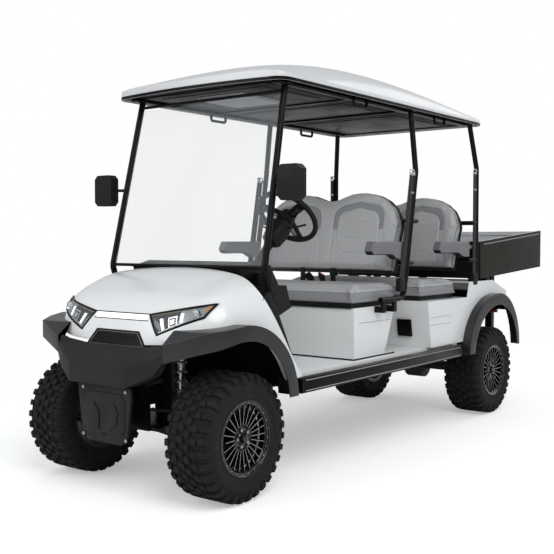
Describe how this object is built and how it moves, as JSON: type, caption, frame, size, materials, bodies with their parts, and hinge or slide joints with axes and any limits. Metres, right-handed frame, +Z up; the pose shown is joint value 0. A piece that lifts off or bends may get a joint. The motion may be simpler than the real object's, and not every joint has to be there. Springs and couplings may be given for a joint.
{
  "type": "four-seat utility golf cart",
  "caption": "Electric four-seat utility golf cart with a canopy roof, two forward-facing benches, steered front wheels and a tipping load bed.",
  "frame": {"origin": "on the floor under the middle of the cart's overall box", "axes": "+X forward, +Y to the driver's left, +Z up"},
  "size_m": [3.855, 1.374, 2.1303],
  "materials": {
    "body_white": "glossy moulded body plastic",
    "trim_dark": "grained dark plastic",
    "floor_grey": "ribbed floor mat over the pan",
    "steel_black": "black powder-coated steel",
    "spring_steel": "bright spring steel",
    "cast_metal": "painted axle casting",
    "battery_case": "battery case",
    "tyre_rubber": "all-terrain tyre rubber",
    "rim_black": "gloss black alloy with bright edges",
    "seat_vinyl": "grey marine vinyl",
    "clear_screen": "clear sheet",
    "lamp_clear": "lamp unit behind a clear cover",
    "lamp_white": "white lamp cover",
    "lamp_red": "red lamp cover",
    "plate_black": "bare gloss black plate",
    "wheel_grip": "soft black grip",
    "bed_bronze": "dark bronze painted sheet"
  },
  "bodies": {
    "chassis": {"front_body": "body_white", "rear_body": "body_white", "front_seat_box": "body_white", "roof": "body_white", "front_bumper": "trim_dark", "front_flares": "trim_dark", "rear_flares": "trim_dark", "skid_plate": "trim_dark", "dashboard": "trim_dark", "cowl_panels": "trim_dark", "mirrors": "trim_dark", "rocker_panels": "trim_dark", "seat_trays": "trim_dark", "pedals": "trim_dark", "charging_socket": "trim_dark", "seat_belts": "trim_dark", "roof_liner": "trim_dark", "floor_pan": "floor_grey", "chassis_frame": "steel_black", "front_subframe": "steel_black", "bumper_mounts": "steel_black", "skid_struts": "steel_black", "windshield_frame": "steel_black", "middle_posts": "steel_black", "rear_posts": "steel_black", "grab_handles": "steel_black", "back_frames": "steel_black", "bed_mount": "steel_black", "bed_feet": "steel_black", "front_suspension": "steel_black", "steering_column": "steel_black", "leaf_springs": "steel_black", "rack_housing": "steel_black", "coil_overs": "spring_steel", "rear_axle": "cast_metal", "battery_pack": "battery_case", "front_cushion": "seat_vinyl", "rear_cushion": "seat_vinyl", "front_backrest": "seat_vinyl", "rear_backrest": "seat_vinyl", "armrests": "seat_vinyl", "windshield_glass": "clear_screen", "headlamps": "lamp_clear", "light_bar": "lamp_white", "tail_lamps": "lamp_red", "badge_plate": "plate_black"},
    "knuckle_left": {"knuckle_left": "steel_black"},
    "knuckle_right": {"knuckle_right": "steel_black"},
    "wheel_front_left": {"tyre_front_left": "tyre_rubber", "rim_front_left": "rim_black"},
    "wheel_front_right": {"tyre_front_right": "tyre_rubber", "rim_front_right": "rim_black"},
    "wheel_rear_left": {"tyre_rear_left": "tyre_rubber", "rim_rear_left": "rim_black"},
    "wheel_rear_right": {"tyre_rear_right": "tyre_rubber", "rim_rear_right": "rim_black"},
    "steering_wheel": {"steering_wheel": "wheel_grip"},
    "steering_rack": {"steering_rack": "spring_steel"},
    "load_bed": {"bed_tub": "bed_bronze"},
    "tailgate": {"tailgate": "bed_bronze"}
  },
  "joints": [
    {"name": "steer_left", "type": "hinge", "parent": "chassis", "child": "knuckle_left", "pos_m": [1.5725, 0.375, 0.29], "axis": [0, 0, 1], "range_deg": [-28, 28]},
    {"name": "steer_right", "type": "hinge", "parent": "chassis", "child": "knuckle_right", "pos_m": [1.5725, -0.375, 0.29], "axis": [0, 0, 1], "range_deg": [-28, 28]},
    {"name": "steering_wheel_turn", "type": "hinge", "parent": "chassis", "child": "steering_wheel", "pos_m": [0.8775, 0.285, 1.285], "axis": [-0.7314, 0, 0.682], "range_deg": [-337, 337]},
    {"name": "rack_slide", "type": "slide", "parent": "chassis", "child": "steering_rack", "axis": [0, 1, 0], "range_m": [-0.0435, 0.0435]},
    {"name": "spin_front_left", "type": "hinge", "parent": "knuckle_left", "child": "wheel_front_left", "pos_m": [1.5725, 0.465, 0.29], "axis": [0, 1, 0], "continuous": true},
    {"name": "spin_front_right", "type": "hinge", "parent": "knuckle_right", "child": "wheel_front_right", "pos_m": [1.5725, -0.465, 0.29], "axis": [0, 1, 0], "continuous": true},
    {"name": "spin_rear_left", "type": "hinge", "parent": "chassis", "child": "wheel_rear_left", "pos_m": [-1.0575, 0.465, 0.29], "axis": [0, 1, 0], "continuous": true},
    {"name": "spin_rear_right", "type": "hinge", "parent": "chassis", "child": "wheel_rear_right", "pos_m": [-1.0575, -0.465, 0.29], "axis": [0, 1, 0], "continuous": true},
    {"name": "bed_tip", "type": "hinge", "parent": "chassis", "child": "load_bed", "pos_m": [-1.6775, 0, 0.9319], "axis": [0, -1, 0], "range_deg": [0, 42]},
    {"name": "tailgate_drop", "type": "hinge", "parent": "load_bed", "child": "tailgate", "pos_m": [-1.9155, 0, 0.985], "axis": [0, -1, 0], "range_deg": [0, 90]}
  ],
  "couplings": [
    {"joint": "steer_right", "follows": "steer_left", "ratio": 1},
    {"joint": "steering_wheel_turn", "follows": "steer_left", "ratio": 12},
    {"joint": "rack_slide", "follows": "steer_left", "m_per_rad": -0.088}
  ]
}
